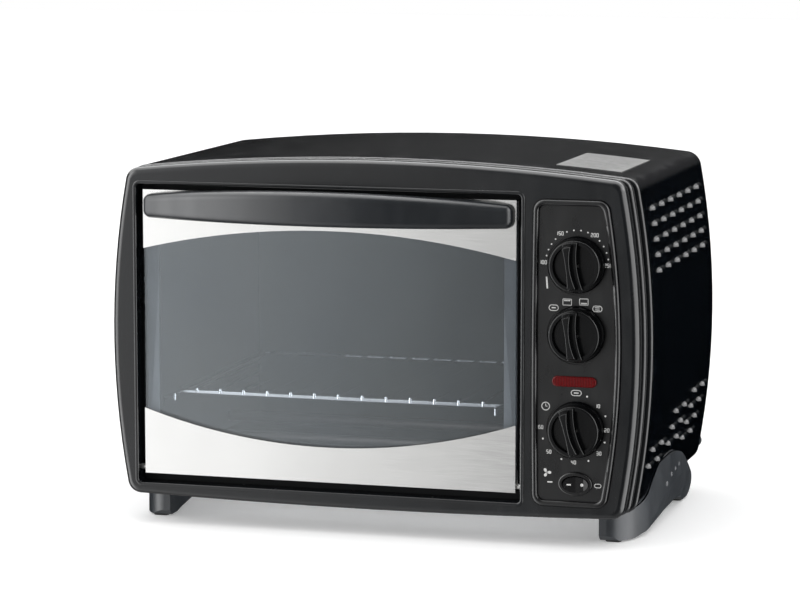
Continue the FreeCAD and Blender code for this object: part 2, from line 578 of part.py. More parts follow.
def selector_switch():
    z = KNOBS["function"][0]
    tabs = [box(PANEL_X + x, PANEL_X + x + 5, FACE + 38, FACE + 46, z + h, z + h + 0.8)
            for x in (-12, -2.5, 7) for h in (-9, 8)]
    return mechanism(z, 32, 30, 22, tabs)


def timer_mechanism():
    z = KNOBS["timer"][0]
    drum = rod((PANEL_X, FACE + 44, z), (PANEL_X, FACE + 52, z), 18)
    return mechanism(z, 46, 44, 28, [drum])


def control_bracket():
    plate = fuse(box(124, 190, FACE + 16, FACE + 17, 62, 244),
                 box(124, 125, FACE + 17, FACE + 24, 62, 244))
    arm = [box(118.5, 124.5, FACE + 12.3, FACE + 13.3, z - 8, z + 8) for z in (72, 236)]
    arm += [box(124, 125, FACE + 12.3, FACE + 17, z - 8, z + 8) for z in (72, 236)]
    holes = [rod((PANEL_X, FACE + 10, z), (PANEL_X, FACE + 20, z), 5.05) for z, _ in KNOBS.values()]
    holes.append(box(PANEL_X - 20, PANEL_X + 20, FACE + 10, FACE + 20, 117, 140))
    return fuse(plate, *arm).cut(holes)


def control_nuts():
    nuts = []
    for z, _ in KNOBS.values():
        hexagon = polygon([(PANEL_X + 7.5 * math.cos(math.pi * i / 3), FACE + 12.5, z + 7.5 * math.sin(math.pi * i / 3))
                           for i in range(6)], (0, 3.5, 0))
        nuts.append(hexagon.cut(rod((PANEL_X, FACE + 8, z), (PANEL_X, FACE + 18, z), 5.05)))
    return nuts


def lamp_lens():
    cap = round_rim(stadium(LAMP_X, LAMP_Z, 34.5, 8.0, PANEL_FACE - 2.0, PANEL_FACE), PANEL_FACE - 2.0, 1.2)
    lens = fuse(cap, stadium(LAMP_X, LAMP_Z, 31.2, 5.0, PANEL_FACE, FACE + 3.5))
    return lens.cut(stadium(LAMP_X, LAMP_Z, 28.6, 3.0, PANEL_FACE + 0.6, FACE + 5))


def neon_lamp():
    tube = rod((LAMP_X - 8, FACE + 8.5, LAMP_Z), (LAMP_X + 8, FACE + 8.5, LAMP_Z), 3.0)
    leads = [rod((LAMP_X + 7, FACE + 8.5, LAMP_Z + d), (LAMP_X + 18, FACE + 8.5, LAMP_Z + d), 0.6) for d in (-1, 1)]
    return fuse(tube, *leads)


def lamp_clip():
    """Springy holder: plate behind the lens and two side arms round the lamp."""
    base = box(LAMP_X - 12, LAMP_X + 6.5, FACE + 12.2, FACE + 13.2, LAMP_Z - 4.2, LAMP_Z + 4.2)
    arms = [box(LAMP_X - 6, LAMP_X + 4, FACE + 3.6, FACE + 12.2, LAMP_Z + s, LAMP_Z + s + 0.9) for s in (-4.2, 3.3)]
    return fuse(base, *arms)


ROCKER_Y = FACE + 1.5


def rocker_housing():
    rim = round_rim(oval(ROCKER_X, ROCKER_Z, 13.2, 9.2, PANEL_FACE - 1.9, PANEL_FACE), PANEL_FACE - 1.9, 1.1)
    barrel = oval(ROCKER_X, ROCKER_Z, 11.5, 7.7, PANEL_FACE, FACE + 3)
    case = box(ROCKER_X - 11, ROCKER_X + 11, FACE + 1, FACE + 20, ROCKER_Z - 7.2, ROCKER_Z + 7.2)
    tabs = [box(ROCKER_X + x, ROCKER_X + x + 0.8, FACE + 20, FACE + 28, ROCKER_Z - 3, ROCKER_Z + 3) for x in (-6, 0, 6)]
    shape = fuse(rim, barrel, case, *tabs)
    well = oval(ROCKER_X, ROCKER_Z, 10.4, 6.3, FACE - 9, FACE + 9)
    pivot = rod((ROCKER_X, ROCKER_Y, ROCKER_Z - 9), (ROCKER_X, ROCKER_Y, ROCKER_Z + 9), 1.05)
    return shape.cut([well, pivot])


def rocker_button():
    top = [(-9.9, -8.4), (-6, -7.4), (0, -6.9), (6, -7.4), (9.9, -8.4)]
    pts = [(ROCKER_X + x, FACE + y, ROCKER_Z - 6) for x, y in top]
    pts += [(ROCKER_X + x, FACE + y, ROCKER_Z - 6) for x, y in ((9.9, -2.0), (3.5, 3.4), (-3.5, 3.4), (-9.9, -2.0))]
    cap = polygon(pts, (0, 0, 12)).common(oval(ROCKER_X, ROCKER_Z, 9.6, 5.8, FACE - 12, FACE + 8))
    pin = rod((ROCKER_X, ROCKER_Y, ROCKER_Z - 6.9), (ROCKER_X, ROCKER_Y, ROCKER_Z + 6.9), 0.98)
    button = fuse(cap, pin)
    button.rotate(V(ROCKER_X, ROCKER_Y, ROCKER_Z), V(0, 0, 1), 6.0)
    return button


# ------------------------------------------------------- fan and electrics
def fan_housing():
    can = rod((CAV_X1 + LINER, FAN_Y, FAN_Z), (CAV_X1 + LINER + 17, FAN_Y, FAN_Z), 52)
    hollow = rod((CAV_X1 - 1, FAN_Y, FAN_Z), (CAV_X1 + LINER + 16.2, FAN_Y, FAN_Z), 51.2)
    hole = rod((CAV_X1, FAN_Y, FAN_Z), (CAV_X1 + 30, FAN_Y, FAN_Z), 4.0)
    return can.cut([hollow, hole])


def fan_impeller():
    x0 = CAV_X1 + 4.0
    disc = rod((x0 + 8, FAN_Y, FAN_Z), (x0 + 9, FAN_Y, FAN_Z), FAN_R)
    hub = rod((x0, FAN_Y, FAN_Z), (x0 + 9, FAN_Y, FAN_Z), 7.0)
    blades = []
    for i in range(12):
        blade = box(x0, x0 + 8.2, FAN_Y + 16, FAN_Y + FAN_R - 1, FAN_Z - 0.6, FAN_Z + 0.6)
        blade.rotate(V(0, FAN_Y + 16, FAN_Z), V(1, 0, 0), 25)
        blade.rotate(V(0, FAN_Y, FAN_Z), V(1, 0, 0), 30 * i)
        blades.append(blade)
    wheel = disc.fuse([hub] + blades)
    wheel = wheel.common(rod((x0 - 1, FAN_Y, FAN_Z), (x0 + 12, FAN_Y, FAN_Z), FAN_R))
    return wheel.cut(rod((x0 - 2, FAN_Y, FAN_Z), (x0 + 12, FAN_Y, FAN_Z), 2.5))


def fan_shaft():
    return rod((CAV_X1 + 3.5, FAN_Y, FAN_Z), (SHIELD_X + 22, FAN_Y, FAN_Z), 2.5)


def fan_motor():
    x0 = SHIELD_X + SHEET
    core = box(x0 + 3, x0 + 19, FAN_Y - 24, FAN_Y + 24, FAN_Z - 20, FAN_Z + 20)
    core = core.fuse([rod((x0, FAN_Y, FAN_Z), (x0 + 23, FAN_Y, FAN_Z), 13),
                      box(x0 - 0.0, x0 + 3, FAN_Y - 6, FAN_Y + 6, FAN_Z - 26, FAN_Z + 26)])
    coil = box(x0 + 1, x0 + 21, FAN_Y - 12, FAN_Y + 12, FAN_Z - 34, FAN_Z - 20)
    return core.fuse(coil).cut(rod((x0 - 1, FAN_Y, FAN_Z), (x0 + 22, FAN_Y, FAN_Z), 2.55)).removeSplitter()


def heat_shield():
    plate = fuse(box(SHIELD_X, SHIELD_X + SHEET, FACE + 62, FACE + 252, 27, 270),
                 box(SHIELD_X, SHIELD_X + 14, FACE + 62, FACE + 252, 26.4, 27.2))
    slots = [box(SHIELD_X - 1, SHIELD_X + 2, y, y + 30, z, z + 4) for y in (-50, 60) for z in (220, 232, 244, 256)]
    return plate.cut(slots + [rod((SHIELD_X - 2, FAN_Y, FAN_Z), (SHIELD_X + 4, FAN_Y, FAN_Z), 4.0)])


def terminal_block():
    x0, y0, z0 = 146.0, FACE + 222, 27.2
    block = box(x0, x0 + 34, y0, y0 + 16, z0, z0 + 14)
    wells = [rod((x0 + 5 + 8 * i, y0 + 8, z0 + 8), (x0 + 5 + 8 * i, y0 + 8, z0 + 15), 2.6) for i in range(4)]
    ports = [rod((x0 + 5 + 8 * i, y0 - 1, z0 + 5), (x0 + 5 + 8 * i, y0 + 17, z0 + 5), 1.6) for i in range(4)]
    return block.cut(wells + ports)


def cord_grommet():
    """Strain bush of the cord inlet; the oven is modelled without its cord."""
    y = BACK_Y
    bush = fuse(rod((CORD_X, y - 6, CORD_Z), (CORD_X, y + 2, CORD_Z), 7.0),
                rod((CORD_X, y + SHEET, CORD_Z), (CORD_X, y + 5, CORD_Z), 10.0),
                rod((CORD_X, y - 4, CORD_Z), (CORD_X, y, CORD_Z), 9.0))
    return bush.cut(rod((CORD_X, y - 8, CORD_Z), (CORD_X, y + 8, CORD_Z), 4.0))


def hinge_brackets():
    """Steel plate behind each lower corner of the door opening, holding the pin."""
    plates = []
    for edge, out in ((DOOR_X0, -1), (DOOR_X1, 1)):
        a, b = sorted((edge + out * 6.9, edge + out * 8.1))
        c, d = sorted((edge + out * 6.9, edge + out * 2.0))
        plate = fuse(box(a, b, FACE + 1.0, FACE + 20, 34, 62), box(c, d, FACE + 12.3, FACE + 13.3, 34, 62))
        plates.append(plate.cut(rod((a - 2, PIN_Y, PIN_Z), (b + 2, PIN_Y, PIN_Z), PIN_R + 0.05)))
    return plates


def door_springs():
    """Torsion spring round each hinge pin, beside its bracket: close-wound turns and two legs."""
    coils = []
    for edge, out in ((DOOR_X0, -1), (DOOR_X1, 1)):
        start = edge + out * 8.7
        turns = [rod((start, PIN_Y, PIN_Z), (start + out * 2.6, PIN_Y, PIN_Z), 3.8)]
        turns += [rod((start + out * (0.1 + 0.65 * i), PIN_Y, PIN_Z),
                      (start + out * (0.55 + 0.65 * i), PIN_Y, PIN_Z), 4.1) for i in range(4)]
        legs = [rod((start, PIN_Y + 3.6, PIN_Z), (start, PIN_Y + 3.6, PIN_Z + 13), 0.4),
                rod((start + out * 2.16, PIN_Y, PIN_Z + 3.6), (start + out * 2.16, PIN_Y + 12, PIN_Z + 3.6), 0.4)]
        coil = turns[0].fuse(turns[1:] + legs)
        coils.append(coil.cut(rod((start - 5, PIN_Y, PIN_Z), (start + 5, PIN_Y, PIN_Z), 3.1)))
    return coils


# -------------------------------------------------------------------- output
def main():
    save("cabinet_wrap", cabinet_wrap())
    save("front_bezel", front_bezel())
    save("control_panel", control_panel())
    save("rear_panel", rear_panel())
    save("base_plate", base_plate())
    save("right_foot_rail", foot_rail(1))
    save("left_foot_rail", foot_rail(-1))
    save("foot_pads", foot_pads())
    save("rear_spacers", rear_spacers())
    save("label_plate", label_plate())

    save("front_frame", front_frame())
    save("cavity_left_wall", cavity_side(CAV_X0 - LINER, CAV_X0, False))
    save("cavity_right_wall", cavity_side(CAV_X1, CAV_X1 + LINER, True))
    save("cavity_floor", box(CAV_X0, CAV_X1, CAV_Y0, CAV_Y1, CAV_Z0 - LINER, CAV_Z0))
    save("cavity_ceiling", box(CAV_X0, CAV_X1, CAV_Y0, CAV_Y1, CAV_Z1, CAV_Z1 + LINER))
    save("cavity_rear_wall", box(CAV_X0, CAV_X1, CAV_Y1, CAV_Y1 + LINER, CAV_Z0 - LINER, CAV_Z1 + LINER))
    save("rack_rails", rack_rails())
    save("wire_rack", wire_rack())
    save("lower_heater_rods", heater_rods(HEATER_Z[0]))
    save("upper_heater_rods", heater_rods(HEATER_Z[1]))
    save("heater_insulators", heater_insulators())

    save("door_glass", door_glass())
    save("door_top_trim", door_top_trim())
    save("door_bottom_trim", door_bottom_trim())
    save("door_side_channels", door_side_channels())
    save("door_hinge_pins", door_hinge_pins())
    save("door_handle", door_handle())
    save("handle_screws", [pan_screw((x, FACE + 9.0, HANDLE_SCREW_Z), (0, -1, 0), 1.5, 13.0) for x in HANDLE_SCREW_X])

    for name, (z, turn) in KNOBS.items():
        save(name + "_knob", knob(z, turn))
        save(name + "_shaft", knob_shaft(z))
    save("thermostat", thermostat())
    save("selector_switch", selector_switch())
    save("timer_mechanism", timer_mechanism())
    save("control_bracket", control_bracket())
    save("control_nuts", control_nuts())
    save("pilot_lamp_lens", lamp_lens())
    save("neon_lamp", neon_lamp())
    save("lamp_clip", lamp_clip())
    save("rocker_housing", rocker_housing())
    save("rocker_button", rocker_button())

    save("fan_housing", fan_housing())
    save("fan_impeller", fan_impeller())
    save("fan_shaft", fan_shaft())
    save("fan_motor", fan_motor())
    save("heat_shield", heat_shield())
    save("terminal_block", terminal_block())
    save("cord_grommet", cord_grommet())
    save("hinge_brackets", hinge_brackets())
    save("door_springs", door_springs())
    save("rear_screws", [pan_screw(p, (0, -1, 0)) for p in REAR_SCREWS])
    save("base_screws", [pan_screw((x, y, 25.6), (0, 0, 1)) for x, y, _ in BASE_SCREWS])


main()
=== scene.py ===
import math

import bpy
from mathutils import Matrix, Vector


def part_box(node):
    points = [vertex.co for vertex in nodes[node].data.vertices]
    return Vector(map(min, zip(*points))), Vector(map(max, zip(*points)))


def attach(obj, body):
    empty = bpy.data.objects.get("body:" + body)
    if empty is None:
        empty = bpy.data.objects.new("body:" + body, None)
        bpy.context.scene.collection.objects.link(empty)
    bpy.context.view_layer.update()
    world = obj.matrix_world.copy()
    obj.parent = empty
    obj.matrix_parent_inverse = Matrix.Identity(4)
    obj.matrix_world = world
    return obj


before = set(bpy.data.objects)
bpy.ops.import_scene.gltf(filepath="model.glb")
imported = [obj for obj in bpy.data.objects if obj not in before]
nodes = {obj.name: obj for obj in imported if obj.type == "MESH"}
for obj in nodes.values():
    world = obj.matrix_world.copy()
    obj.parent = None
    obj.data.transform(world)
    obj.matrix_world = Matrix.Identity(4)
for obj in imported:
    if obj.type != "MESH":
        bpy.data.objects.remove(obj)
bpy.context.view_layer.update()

# Looks of the toaster oven: procedural finishes on the fixed model, printed dial marks,
# a pale studio and a long-lens camera. Metres, same axes as the model.

scene = bpy.context.scene
FACE = -0.1245               # the door's front plane
PANEL = FACE - 0.0034        # the control panel's face
KNOB_X = 0.163
KNOB_Z = {"temperature": 0.2170, "function": 0.1643, "timer": 0.0917}
ROCKER_X, ROCKER_Z = 0.1628, 0.0503
ROCKER_PIVOT_Y = FACE + 0.0015
ROCKER_FACE_Y = FACE - 0.00752
ROCKER_REST_TILT = 6         # degrees about the upright pin
PRINT_DEPTH, PRINT_SINK = 0.00012, 0.00002
DIGIT_HEIGHT = 0.0026
CAMERA_PLACE, CAMERA_DOWN, CAMERA_TURN = (0.7191, -2.4967, 0.5187), 7.69, 16.34


# ------------------------------------------------------------------ materials
class Paint:
    """Small helper that wires up one node material."""

    def __init__(self, name):
        self.mat = bpy.data.materials.new(name)
        self.mat.use_nodes = True
        self.tree = self.mat.node_tree
        self.shader = self.tree.nodes["Principled BSDF"]
        self.coords = self.node("ShaderNodeTexCoord").outputs["Object"]

    def node(self, kind, **values):
        n = self.tree.nodes.new(kind)
        for key, value in values.items():
            setattr(n, key, value)
        return n

    def link(self, a, b):
        self.tree.links.new(a, b)

    def set(self, **values):
        for key, value in values.items():
            self.shader.inputs[key.replace("_", " ")].default_value = value

    def mapped(self, scale, shift=(0, 0, 0)):
        m = self.node("ShaderNodeMapping")
        m.inputs["Scale"].default_value = scale
        m.inputs["Location"].default_value = shift
        self.link(self.coords, m.inputs["Vector"])
        return m.outputs["Vector"]

    def noise(self, scale, stretch=(1, 1, 1), detail=3.0, rough=0.55, shift=(0, 0, 0)):
        n = self.node("ShaderNodeTexNoise")
        n.inputs["Scale"].default_value = scale
        n.inputs["Detail"].default_value = detail
        n.inputs["Roughness"].default_value = rough
        self.link(self.mapped(stretch, shift), n.inputs["Vector"])
        return n.outputs["Fac"]

    def remap(self, value, low, high, a=0.3, b=0.7):
        m = self.node("ShaderNodeMapRange")
        m.inputs["From Min"].default_value = a
        m.inputs["From Max"].default_value = b
        m.inputs["To Min"].default_value = low
        m.inputs["To Max"].default_value = high
        self.link(value, m.inputs["Value"])
        return m.outputs["Result"]

    def ramp(self, value, stops):
        r = self.node("ShaderNodeValToRGB")
        while len(r.color_ramp.elements) < len(stops):
            r.color_ramp.elements.new(0.5)
        for e, (at, color) in zip(r.color_ramp.elements, stops):
            e.position = at
            e.color = (*color, 1.0)
        self.link(value, r.inputs["Fac"])
        return r.outputs["Color"]

    def math(self, operation, a, b):
        m = self.node("ShaderNodeMath", operation=operation)
        for socket, value in zip(m.inputs, (a, b)):
            if isinstance(value, (int, float)):
                socket.default_value = value
            else:
                self.link(value, socket)
        return m.outputs[0]

    def bump(self, height, strength, distance):
        b = self.node("ShaderNodeBump")
        b.inputs["Strength"].default_value = strength
        b.inputs["Distance"].default_value = distance
        self.link(height, b.inputs["Height"])
        if self.shader.inputs["Normal"].is_linked:
            self.link(self.shader.inputs["Normal"].links[0].from_socket, b.inputs["Normal"])
        self.link(b.outputs["Normal"], self.shader.inputs["Normal"])


def moulded(name, color, rough, grain=1800.0, depth=0.00004, strength=0.25, spec=0.5, coat=0.0):
    """Moulded plastic: fine spark-eroded grain, soft colour and gloss variation."""
    p = Paint(name)
    low = tuple(c * 0.82 for c in color)
    high = tuple(min(1.0, c * 1.2) for c in color)
    cloud = p.noise(26.0, detail=4.0)
    p.link(p.ramp(cloud, [(0.3, low), (0.7, high)]), p.shader.inputs["Base Color"])
    smear = p.noise(70.0, (1, 1, 0.35), detail=5.0, shift=(3, 1, 2))
    p.link(p.remap(smear, rough - 0.05, rough + 0.07), p.shader.inputs["Roughness"])
    p.bump(p.noise(grain, detail=2.0), strength, depth)
    p.set(Specular_IOR_Level=spec, Coat_Weight=coat, Coat_Roughness=0.12)
    return p.mat


def enamel(name, color, rough, coat=0.6, wave=0.00006, spec=0.45):
    """Sprayed paint on sheet steel: orange peel, faint dust and slight gloss changes."""
    p = Paint(name)
    cloud = p.noise(9.0, detail=3.0)
    low = tuple(c * 0.85 for c in color)
    high = tuple(c * 1.18 for c in color)
    p.link(p.ramp(cloud, [(0.3, low), (0.7, high)]), p.shader.inputs["Base Color"])
    p.link(p.remap(p.noise(55.0, detail=5.0, shift=(1, 4, 2)), rough - 0.03, rough + 0.05),
           p.shader.inputs["Roughness"])
    p.bump(p.noise(420.0, detail=1.0), 0.16, wave)
    p.set(Coat_Weight=coat, Coat_Roughness=0.06, Specular_IOR_Level=spec)
    return p.mat


def metal(name, color, rough, stretch=(1, 1, 1), lines=900.0, depth=0.00001, vary=0.12, aniso=0.0):
    """Metal with drawn or brushed lines, cloudy tarnish and uneven gloss."""
    p = Paint(name)
    cloud = p.noise(14.0, detail=5.0)
    grain = p.noise(lines, stretch, detail=3.0)
    mix = p.math("ADD", p.math("MULTIPLY", cloud, 0.6), p.math("MULTIPLY", grain, 0.4))
    low = tuple(c * (1 - vary) for c in color)
    high = tuple(min(1.0, c * (1 + vary)) for c in color)
    p.link(p.ramp(mix, [(0.35, low), (0.65, high)]), p.shader.inputs["Base Color"])
    p.link(p.remap(grain, rough - 0.06, rough + 0.08), p.shader.inputs["Roughness"])
    p.bump(grain, 0.35, depth)
    p.set(Metallic=1.0, Anisotropic=aniso)
    return p.mat


def galvanised(name, color, rough):
    """Zinc sheet with crystal spangle."""
    p = Paint(name)
    cells = p.node("ShaderNodeTexVoronoi")
    cells.inputs["Scale"].default_value = 130.0
    p.link(p.mapped((1, 1, 1)), cells.inputs["Vector"])
    tone = p.node("ShaderNodeSeparateColor")
    p.link(cells.outputs["Color"], tone.inputs["Color"])
    low = tuple(c * 0.8 for c in color)
    high = tuple(c * 1.15 for c in color)
    p.link(p.ramp(tone.outputs["Red"], [(0.0, low), (1.0, high)]), p.shader.inputs["Base Color"])
    gloss = p.remap(tone.outputs["Green"], rough - 0.08, rough + 0.1, 0.0, 1.0)
    p.link(gloss, p.shader.inputs["Roughness"])
    p.bump(p.noise(300.0, detail=2.0), 0.12, 0.00002)
    p.set(Metallic=1.0)
    return p.mat


def door_glass(name):
    """Tinted toughened glass: mostly clear, a soft grey mirror layer, slight smears."""
    p = Paint(name)
    out = p.tree.nodes["Material Output"]
    clear = p.node("ShaderNodeBsdfTransparent")
    haze = p.noise(7.0, detail=4.0)
    tint = p.ramp(haze, [(0.3, (0.88, 0.90, 0.92)), (0.7, (0.90, 0.92, 0.94))])
    mirror = p.ramp(haze, [(0.3, (0.88, 0.95, 1.0)), (0.7, (0.92, 0.98, 1.0))])
    p.link(tint, clear.inputs["Color"])
    p.link(mirror, p.shader.inputs["Base Color"])
    smear = p.noise(30.0, (1, 1, 0.4), detail=5.0, shift=(2, 2, 1))
    p.link(p.remap(smear, 0.07, 0.13), p.shader.inputs["Roughness"])
    p.set(Metallic=1.0)
    mix = p.node("ShaderNodeMixShader")
    p.link(p.remap(smear, 0.092, 0.101), mix.inputs["Fac"])
    p.link(clear.outputs[0], mix.inputs[1])
    p.link(p.shader.outputs[0], mix.inputs[2])
    p.link(mix.outputs[0], out.inputs["Surface"])
    return p.mat


def lamp_red(name):
    """Ribbed clear red lens."""
    p = Paint(name)
    rib = p.node("ShaderNodeTexWave")
    rib.inputs["Scale"].default_value = 260.0
    rib.inputs["Distortion"].default_value = 0.3
    p.link(p.mapped((1, 0, 0)), rib.inputs["Vector"])
    reds = [(0.2, (0.035, 0.0008, 0.001)), (0.8, (0.10, 0.002, 0.003))]
    p.link(p.ramp(rib.outputs["Fac"], reds), p.shader.inputs["Base Color"])
    p.link(p.remap(p.noise(90.0), 0.12, 0.24), p.shader.inputs["Roughness"])
    p.bump(rib.outputs["Fac"], 0.5, 0.0002)
    p.set(Coat_Weight=0.2, Coat_Roughness=0.05, Emission_Strength=0.02, Specular_IOR_Level=0.05)
    p.shader.inputs["Emission Color"].default_value = (0.8, 0.05, 0.06, 1)
    return p.mat


def printed(name, color):
    """Pad-printed ink, a little uneven."""
    p = Paint(name)
    thin = tuple(c * 0.82 for c in color)
    p.link(p.ramp(p.noise(900.0, detail=3.0), [(0.3, thin), (0.6, color)]), p.shader.inputs["Base Color"])
    p.link(p.remap(p.noise(300.0), 0.4, 0.6), p.shader.inputs["Roughness"])
    return p.mat


MATS = {
    "bezel": moulded("satin_black_plastic", (0.0036, 0.0045, 0.0056), 0.215, 1500.0, 0.00002, 0.16),
    "panel": moulded("panel_black_plastic", (0.0022, 0.0024, 0.0028), 0.30, 1600.0, 0.00002, 0.15),
    "knob": moulded("knob_black_plastic", (0.0018, 0.002, 0.0024), 0.24, 2000.0, 0.00002, 0.14, 0.25),
    "handle": moulded("handle_black_plastic", (0.0075, 0.0092, 0.0115), 0.34, 1300.0, 0.00003, 0.22),
    "foot": moulded("foot_black_plastic", (0.024, 0.0275, 0.032), 0.38, 1200.0, 0.00004, 0.25),
    "rubber": moulded("black_rubber", (0.012, 0.012, 0.012), 0.7, 700.0, 0.00008, 0.4, 0.3),
    "wrap": enamel("gloss_black_enamel", (0.0021, 0.0032, 0.0048), 0.13, 0.3, 0.00001),
    "rear": enamel("rear_black_paint", (0.014, 0.014, 0.015), 0.45, 0.1),
    # Dark enamel for the cavity walls, rack rails and front frame. Its colour is pushed almost to black as
    # painted shade, so the oven's inside and the gap round the door read dark through the glass.
    "liner": enamel("liner_enamel_painted_shade", (0.0100, 0.0106, 0.0114), 0.5, 0.0, 0.00006, 0.08),
    "channel": enamel("grey_channel_paint", (0.165, 0.176, 0.187), 0.5, 0.0, 0.00006, 0.2),
    "zinc": galvanised("galvanised_sheet", (0.52, 0.53, 0.54), 0.42),
    "trim": metal("brushed_stainless", (0.80, 0.80, 0.79), 0.17, (0.5, 60, 60), 60.0, 0.000004, 0.04, 0.4),
    "chrome": metal("chromed_wire", (0.83, 0.83, 0.84), 0.08, (1, 1, 1), 400.0, 0.000004, 0.05),
    "heater": metal("oxidised_sheath", (0.16, 0.14, 0.13), 0.5, (0.2, 1, 1), 240.0, 0.00003, 0.25),
    "steel": metal("zinc_plated_steel", (0.62, 0.62, 0.60), 0.3, (1, 1, 1), 500.0, 0.00001, 0.1),
    "screw": metal("plated_screw", (0.5, 0.5, 0.5), 0.28, (1, 1, 1), 900.0, 0.00001, 0.12),
    "label": moulded("plain_foil_label", (0.130, 0.130, 0.128), 0.5, 700.0, 0.00001, 0.1, 0.3),
    "iron": metal("laminated_iron", (0.28, 0.28, 0.29), 0.5, (40, 1, 1), 60.0, 0.0001, 0.2),
    "alu": metal("bare_aluminium", (0.66, 0.66, 0.67), 0.32, (1, 1, 1), 600.0, 0.00001, 0.1),
    "ceramic": moulded("unglazed_ceramic", (0.72, 0.69, 0.62), 0.6, 900.0, 0.00005, 0.3),
    "case": moulded("switch_case", (0.45, 0.38, 0.28), 0.45, 900.0, 0.00004, 0.25),
    "rocker": moulded("rocker_black_plastic", (0.006, 0.006, 0.0065), 0.18, 1500.0, 0.00001, 0.1),
    "glass": door_glass("smoke_glass"),
    "lamp": lamp_red("red_lens"),
    "bulb": moulded("neon_bulb_glass", (0.6, 0.42, 0.3), 0.1, 300.0, 0.00002, 0.1),
    "print": printed("white_print", (0.56, 0.56, 0.55)),
    "print_grey": printed("grey_print", (0.075, 0.075, 0.075)),
}

FINISH = {
    "bezel": "front_bezel", "panel": "control_panel", "knob": "temperature_knob function_knob timer_knob",
    "handle": "door_handle", "foot": "right_foot_rail left_foot_rail rear_spacers",
    "rubber": "foot_pads cord_grommet", "wrap": "cabinet_wrap", "rear": "rear_panel",
    "liner": "cavity_left_wall cavity_right_wall cavity_floor cavity_ceiling cavity_rear_wall rack_rails "
             "front_frame", "channel": "door_side_channels",
    "zinc": "base_plate control_bracket fan_housing heat_shield",
    "trim": "door_top_trim door_bottom_trim", "chrome": "wire_rack",
    "heater": "lower_heater_rods upper_heater_rods",
    "steel": "door_hinge_pins temperature_shaft function_shaft timer_shaft timer_mechanism "
             "control_nuts lamp_clip fan_shaft hinge_brackets door_springs",
    "screw": "handle_screws rear_screws base_screws", "label": "label_plate", "iron": "fan_motor",
    "alu": "fan_impeller", "ceramic": "heater_insulators",
    "case": "thermostat selector_switch terminal_block",
    "rocker": "rocker_housing rocker_button", "glass": "door_glass",
    "lamp": "pilot_lamp_lens", "bulb": "neon_lamp",
}
for key, names in FINISH.items():
    for name in names.split():
        nodes[name].data.materials.clear()
        nodes[name].data.materials.append(MATS[key])


# ------------------------------------------------------------- printed marks
def merged(name, shapes, body="chassis", depth=PRINT_DEPTH, y=PANEL):
    """One object made of several patches, each a list of (x, z) points."""
    verts, faces = [], []
    for points in shapes:
        n, k = len(points), len(verts)
        verts += [(x, y - depth, z) for x, z in points]
        verts += [(x, y + PRINT_SINK, z) for x, z in points]
        faces += [tuple(k + i for i in range(n)), tuple(k + i for i in range(2 * n - 1, n - 1, -1))]
        faces += [(k + i, k + i + n, k + (i + 1) % n + n, k + (i + 1) % n) for i in range(n)]
    mesh = bpy.data.meshes.new(name)
    mesh.from_pydata(verts, [], faces)
    mesh.materials.append(MATS["print"])
    obj = bpy.data.objects.new(name, mesh)
    scene.collection.objects.link(obj)
    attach(obj, body)
    return obj


def oval(cx, cz, a, b, n, count):
    """The first points, as many as count, of an oval cut into n steps."""
    angles = [2 * math.pi * i / n for i in range(count)]
    return [(cx + a * math.cos(t), cz + b * math.sin(t)) for t in angles]


def disc(cx, cz, r, n=14):
    return oval(cx, cz, r, r, n, n)


def bar(x0, z0, x1, z1, w):
    dx, dz = x1 - x0, z1 - z0
    length = math.hypot(dx, dz) or 1.0
    px, pz = -dz / length * w / 2, dx / length * w / 2
    return [(x0 + px, z0 + pz), (x0 - px, z0 - pz), (x1 - px, z1 - pz), (x1 + px, z1 + pz)]


def traced(points, w):
    """A line of width w through the points, as short bars."""
    return [bar(*p, *q, w) for p, q in zip(points[:-1], points[1:])]


def ring(cx, cz, r, w, n=28):
    return traced(oval(cx, cz, r, r, n, n + 1), w)


def pill(cx, cz, w, h, t):
    """Outline with two straight sides and round ends."""
    r, k = h / 2, w / 2 - h / 2
    points = []
    for side, start in ((1, -90), (-1, 90)):
        for i in range(13):
            a = math.radians(start + 15 * i)
            points.append((cx + side * k + r * math.cos(a), cz + r * math.sin(a)))
    return traced(points + points[:1], t)


def dash(x, z, half, w):
    """Level stroke centred on a point."""
    return bar(x - half, z, x + half, z, w)


SEGMENTS = {"a": (0, 2, 1, 2), "b": (1, 2, 1, 1), "c": (1, 1, 1, 0), "d": (0, 0, 1, 0),
            "e": (0, 1, 0, 0), "f": (0, 2, 0, 1), "g": (0, 1, 1, 1)}
DIGITS = {"0": "abcdef", "1": "bc", "2": "abged", "3": "abgcd", "4": "fgbc", "5": "afgcd", "6": "afgedc"}


def number(text, cx, cz):
    """Plain stroke digits centred on a point."""
    h = DIGIT_HEIGHT
    w, gap = h * 0.5, h * 0.82
    x0 = cx - (gap * (len(text) - 1) + w) / 2
    shapes = []
    for i, ch in enumerate(text):
        for seg in DIGITS[ch]:
            a, b, c, d = SEGMENTS[seg]
            shapes.append(bar(x0 + gap * i + a * w, cz + (b - 1) * h / 2, x0 + gap * i + c * w,
                              cz + (d - 1) * h / 2, h * 0.2))
    return shapes


def at(dial, angle, radius):
    """Point at a clock angle (degrees from the top) round a knob."""
    a = math.radians(angle)
    return KNOB_X + radius * math.sin(a), KNOB_Z[dial] + radius * math.cos(a)


# temperature dial: numbers, dots between them and an off stroke
marks, dots = [], []
for value, angle, radius in (("100", -87, 0.0264), ("150", -30, 0.0272),
                             ("200", 30, 0.0266), ("250", 89, 0.0237)):
    marks += number(value, *at("temperature", angle, radius))
for start, stop in ((-86, -30), (-30, 30), (30, 90)):
    for i in range(1, 5):
        angle = start + (stop - start) * i / 5
        radius = 0.0243 + 0.0020 * math.cos(math.radians(angle)) ** 2
        dots.append(disc(*at("temperature", angle, radius), 0.00062))
marks.append(bar(*at("temperature", -112, 0.0254), *at("temperature", -129, 0.0294), 0.0012))
merged("temperature_scale", marks)
merged("temperature_dots", dots)

